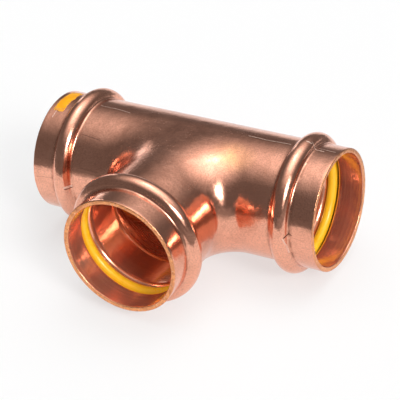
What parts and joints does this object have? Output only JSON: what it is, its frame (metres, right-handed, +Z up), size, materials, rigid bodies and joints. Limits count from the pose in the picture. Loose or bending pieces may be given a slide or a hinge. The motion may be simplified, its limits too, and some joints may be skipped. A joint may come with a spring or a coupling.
{
  "type": "press-fit gas pipe tee",
  "caption": "Copper equal tee with press sockets, each holding a yellow seal ring, for joining gas pipes at a right angle.",
  "frame": {"origin": "on the surface the tee lies on, under the middle of its box: z = 0 is the lowest point of the three beads, x = 0 is the branch axis, and the run axis is at y = 13.05 mm, z = 22.1 mm", "axes": "+X along the run towards its right mouth, -Y along the branch towards its mouth, +Z up"},
  "size_m": [0.099, 0.0702, 0.0442],
  "materials": {
    "copper": "satin",
    "seal": "gloss",
    "mark": "satin"
  },
  "bodies": {
    "root": {"tee_body": "copper", "run_seal_left": "seal", "run_seal_right": "seal", "branch_seal": "seal", "gas_mark": "mark"}
  },
  "joints": []
}
